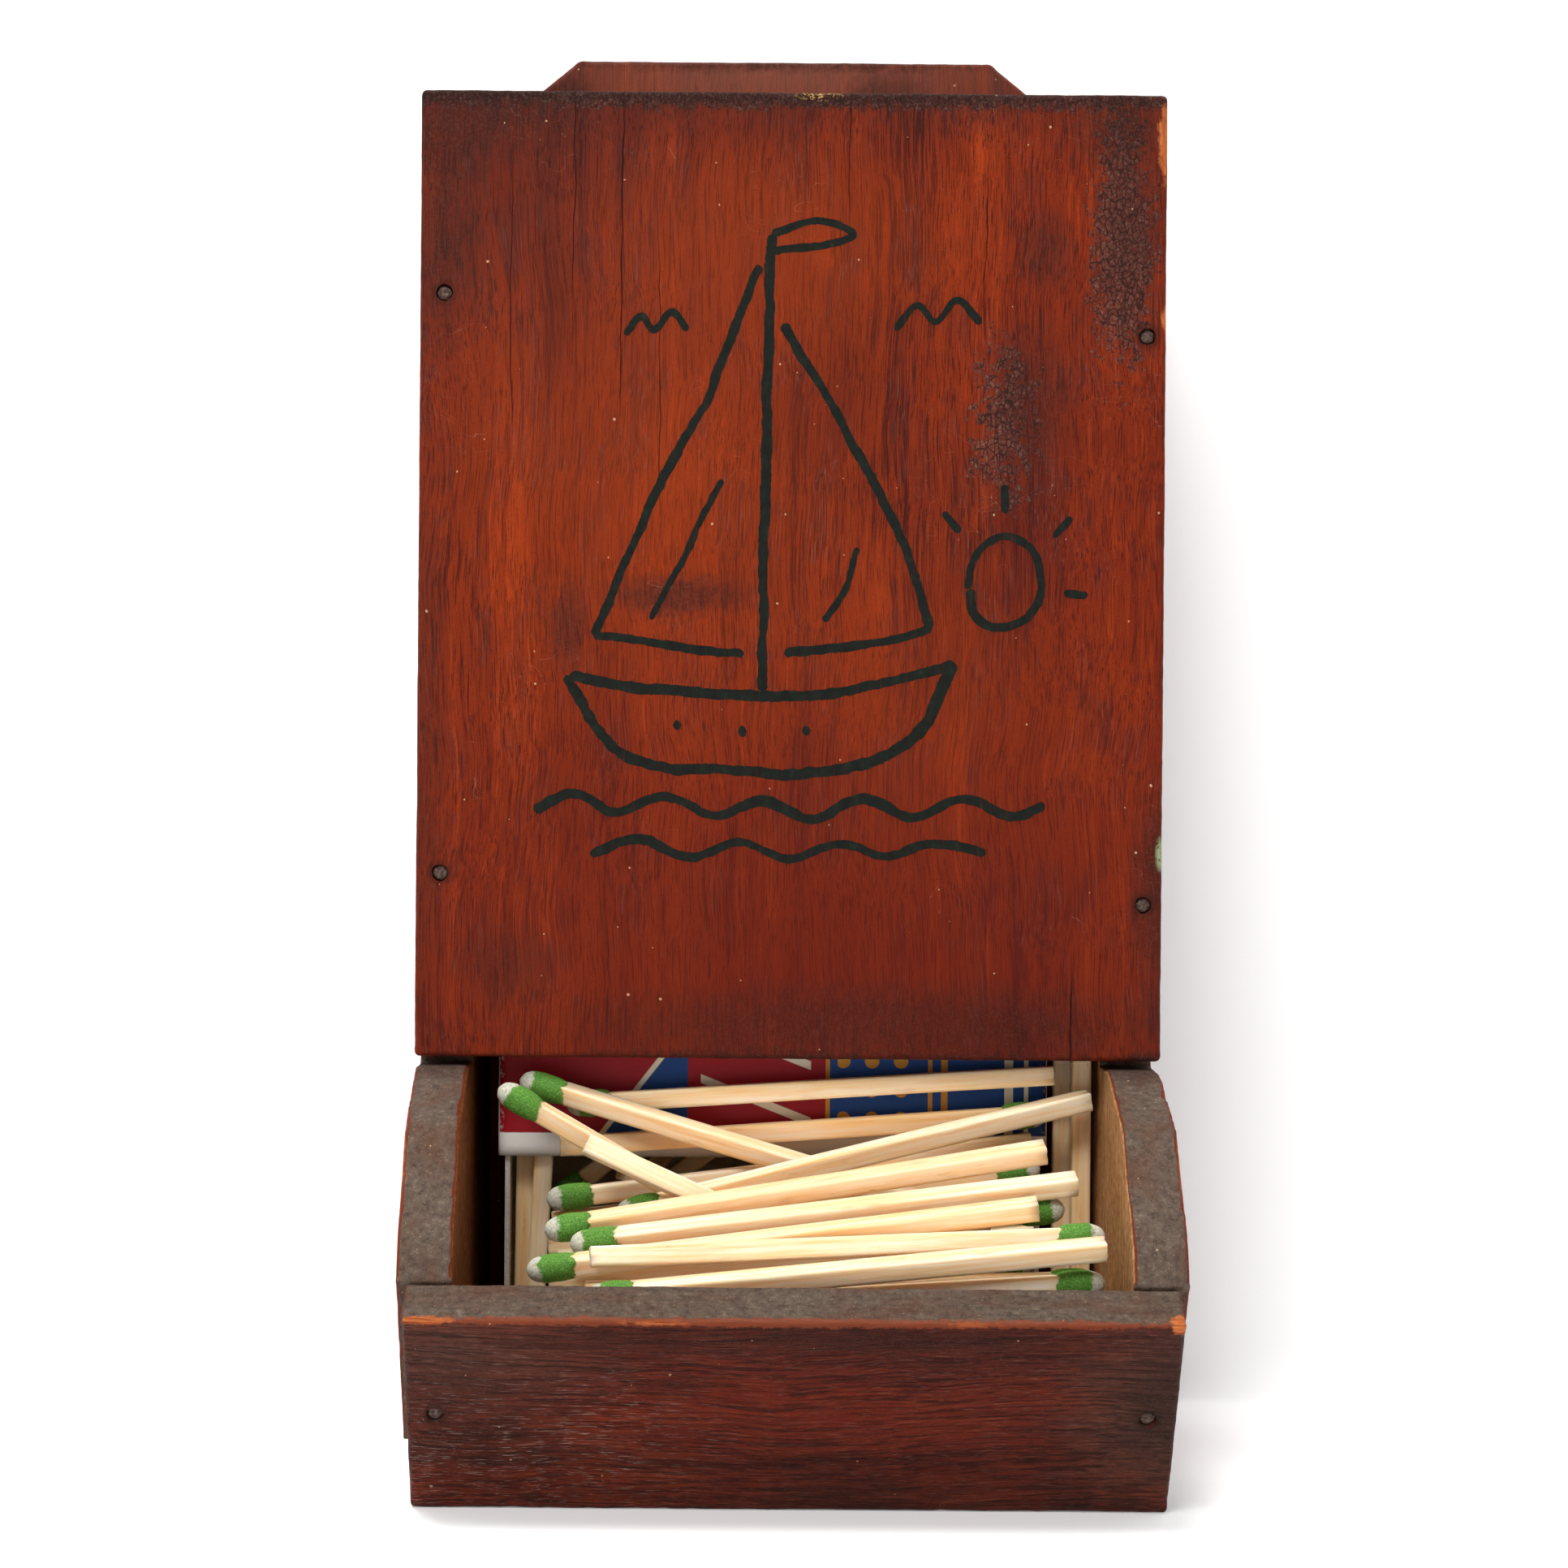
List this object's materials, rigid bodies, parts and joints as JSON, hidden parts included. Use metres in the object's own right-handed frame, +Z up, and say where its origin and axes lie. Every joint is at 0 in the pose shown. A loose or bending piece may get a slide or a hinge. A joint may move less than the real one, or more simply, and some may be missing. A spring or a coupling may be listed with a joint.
{
  "type": "matchbox holder",
  "caption": "Nailed wooden chute that holds a large upright matchbox, with an open top, a leaning lip and a tray of loose matches at its foot.",
  "frame": {"origin": "middle of the bounding box's underside, on the surface that the holder stands on", "axes": "+Z up along the chute, towards the hanging tab; the tray faces -Y and the wall is at +Y; +X is to the viewer's right"},
  "size_m": [0.0906, 0.0874, 0.1816],
  "materials": {
    "stained_softwood": "worn satin red-brown stain",
    "worn_stained_softwood": "worn dull red-brown stain",
    "rusted_steel": "rusted wire brads",
    "printed_card": "printed in red, blue and cream bands",
    "grey_card": "plain unprinted card",
    "aspen": "bare split wood with a dipped green and grey head"
  },
  "bodies": {
    "holder": {"left_side": "stained_softwood", "right_side": "stained_softwood", "back_board": "stained_softwood", "front_board": "stained_softwood", "tray_lip": "worn_stained_softwood", "bottom_board": "worn_stained_softwood", "front_nail_1": "rusted_steel", "front_nail_2": "rusted_steel", "front_nail_3": "rusted_steel", "front_nail_4": "rusted_steel", "back_nail_1": "rusted_steel", "back_nail_2": "rusted_steel", "back_nail_3": "rusted_steel", "back_nail_4": "rusted_steel", "floor_nail_1": "rusted_steel", "floor_nail_2": "rusted_steel", "floor_nail_3": "rusted_steel", "floor_nail_4": "rusted_steel", "lip_nail_1": "rusted_steel", "lip_nail_2": "rusted_steel", "match_upper_row": "aspen", "match_middle_row": "aspen", "match_lower_row": "aspen", "match_front_row": "aspen", "match_on_lip": "aspen", "match_behind_lip": "aspen", "match_under_front_row": "aspen", "match_sloping_left": "aspen", "match_raised_left": "aspen", "match_crossing_left": "aspen", "match_crossing_right": "aspen", "match_under_crossing": "aspen", "match_across_sleeve": "aspen", "match_top": "aspen", "match_behind_rows": "aspen", "match_support_1": "aspen", "match_support_2": "aspen", "match_support_3": "aspen", "match_support_4": "aspen", "match_support_5": "aspen", "match_beside_box_1": "aspen", "match_beside_box_2": "aspen", "match_layer_tray_1": "aspen", "match_layer_tray_2": "aspen", "match_layer_lip_3": "aspen", "match_layer_rear_3": "aspen", "match_layer_lip_4": "aspen", "match_layer_rear_4": "aspen"},
    "filled_drawer": {"matchbox_drawer": "grey_card", "match_upright_in_drawer_1": "aspen", "match_upright_in_drawer_2": "aspen", "match_leaning_in_drawer_1": "aspen", "match_leaning_in_drawer_2": "aspen", "match_leaning_in_drawer_3": "aspen", "match_under_sleeve_edge": "aspen", "match_layer_drawer_1": "aspen", "match_layer_drawer_2": "aspen", "match_layer_drawer_3": "aspen"},
    "sleeve": {"matchbox_sleeve": "printed_card"}
  },
  "joints": [
    {"name": "drawer_lift", "type": "slide", "parent": "holder", "child": "filled_drawer", "axis": [0, 0, 1], "range_m": [0, 0.176]},
    {"name": "sleeve_lift", "type": "slide", "parent": "filled_drawer", "child": "sleeve", "axis": [0, 0, 1], "range_m": [0, 0.145]}
  ]
}
